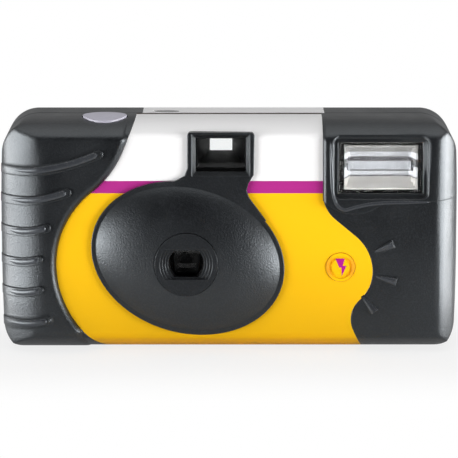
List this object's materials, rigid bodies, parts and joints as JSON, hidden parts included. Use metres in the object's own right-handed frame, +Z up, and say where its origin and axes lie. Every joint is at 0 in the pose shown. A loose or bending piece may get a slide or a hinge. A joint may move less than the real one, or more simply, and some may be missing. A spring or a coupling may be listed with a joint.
{
  "type": "disposable film camera",
  "caption": "Flat single-use film camera with a ribbed side grip, oval lens dome, viewfinder window, flash window and flash button, in a two-part shell with a printed label.",
  "frame": {"origin": "centre of the bounding box in X and Y, on the underside", "axes": "+X to the right as seen from the front, +Y from the lens to the back, +Z up"},
  "size_m": [0.118, 0.0358, 0.0604],
  "materials": {
    "cover_plastic": "fine moulded texture",
    "label_film": "coated printed film",
    "clear_plastic": "clear moulded",
    "ring_plastic": "turned satin",
    "inner_plastic": "plain moulded",
    "gear_plastic": "natural moulded",
    "button_plastic": "satin grey",
    "dial_plastic": "white printed",
    "steel": "thin sheet",
    "reflector_metal": "bright rolled",
    "capacitor_sleeve": "shrink sleeve",
    "film_base": "coated film",
    "cartridge_paint": "printed sheet metal",
    "cell_wrap": "wrapped cell",
    "board_laminate": "paper laminate",
    "coil_tape": "wound and taped",
    "lamp_glass": "neon lamp"
  },
  "bodies": {
    "camera": {"front_cover": "cover_plastic", "back_cover": "cover_plastic", "front_label": "label_film", "back_label": "label_film", "counter_window": "clear_plastic", "lens_ring": "ring_plastic", "taking_lens": "clear_plastic", "lens_barrel": "inner_plastic", "aperture_plate": "inner_plastic", "viewfinder_tunnel": "inner_plastic", "viewfinder_front_lens": "clear_plastic", "viewfinder_eyepiece": "clear_plastic", "flash_window": "clear_plastic", "flash_reflector": "reflector_metal", "flash_tube": "lamp_glass", "cartridge_shell": "cartridge_paint", "film_strip": "film_base", "chassis": "inner_plastic", "lever_spring": "steel", "blade_spring": "steel", "battery_cell": "cell_wrap", "battery_contacts": "steel", "flash_board": "board_laminate", "main_capacitor": "capacitor_sleeve", "step_up_transformer": "coil_tape", "trigger_coil": "coil_tape", "board_components": "inner_plastic", "ready_lamp": "lamp_glass", "switch_spring": "steel"},
    "winder": {"thumbwheel": "inner_plastic", "cartridge_spool": "gear_plastic"},
    "supply": {"supply_spool": "inner_plastic", "film_roll": "film_base"},
    "sprocket_shaft": {"sprocket": "gear_plastic"},
    "counter": {"counter_wheel": "dial_plastic"},
    "shutter_release": {"shutter_button": "button_plastic"},
    "metering": {"metering_lever": "gear_plastic"},
    "high_energy": {"high_energy_lever": "gear_plastic"},
    "blade": {"shutter_blade": "steel"},
    "flash_switch": {"flash_button": "button_plastic"}
  },
  "joints": [
    {"name": "winder_turn", "type": "hinge", "parent": "camera", "child": "winder", "pos_m": [-0.0418, 0.0034, 0.05], "axis": [0, 0, 1], "continuous": true},
    {"name": "supply_turn", "type": "hinge", "parent": "camera", "child": "supply", "pos_m": [0.028, 0.0044, 0.02465], "axis": [0, 0, 1], "continuous": true},
    {"name": "sprocket_turn", "type": "hinge", "parent": "camera", "child": "sprocket_shaft", "pos_m": [-0.0205, 0.0066, 0.048], "axis": [0, 0, 1], "continuous": true},
    {"name": "counter_turn", "type": "hinge", "parent": "camera", "child": "counter", "pos_m": [-0.0163, 0.0022, 0.0554], "axis": [0, 0, 1], "continuous": true},
    {"name": "shutter_press", "type": "slide", "parent": "camera", "child": "shutter_release", "axis": [0, 0, -1], "range_m": [0, 0.0015], "stiffness_N_per_m": 200, "springref_m": -0.001},
    {"name": "metering_swing", "type": "hinge", "parent": "camera", "child": "metering", "pos_m": [-0.0245, -0.0021, 0.0484], "axis": [0, 0, 1], "range_deg": [0, 12]},
    {"name": "high_energy_swing", "type": "hinge", "parent": "camera", "child": "high_energy", "pos_m": [-0.0148, -0.0033, 0.0498], "axis": [0, 0, 1], "range_deg": [0, 25], "stiffness_Nm_per_rad": 0.002, "springref_deg": -11.46},
    {"name": "blade_swing", "type": "hinge", "parent": "camera", "child": "blade", "pos_m": [-0.0165, -0.00845, 0.0325], "axis": [0, 1, 0], "range_deg": [0, 32], "stiffness_Nm_per_rad": 0.0005, "springref_deg": -11.46},
    {"name": "flash_press", "type": "slide", "parent": "camera", "child": "flash_switch", "axis": [0, 1, 0], "range_m": [0, 0.0009], "stiffness_N_per_m": 200, "springref_m": -0.0005}
  ],
  "couplings": [
    {"joint": "supply_turn", "follows": "winder_turn", "ratio": 0.64},
    {"joint": "sprocket_turn", "follows": "winder_turn", "ratio": 0.96},
    {"joint": "counter_turn", "follows": "winder_turn", "ratio": -0.032},
    {"joint": "metering_swing", "follows": "shutter_press", "rad_per_m": 139.49}
  ]
}
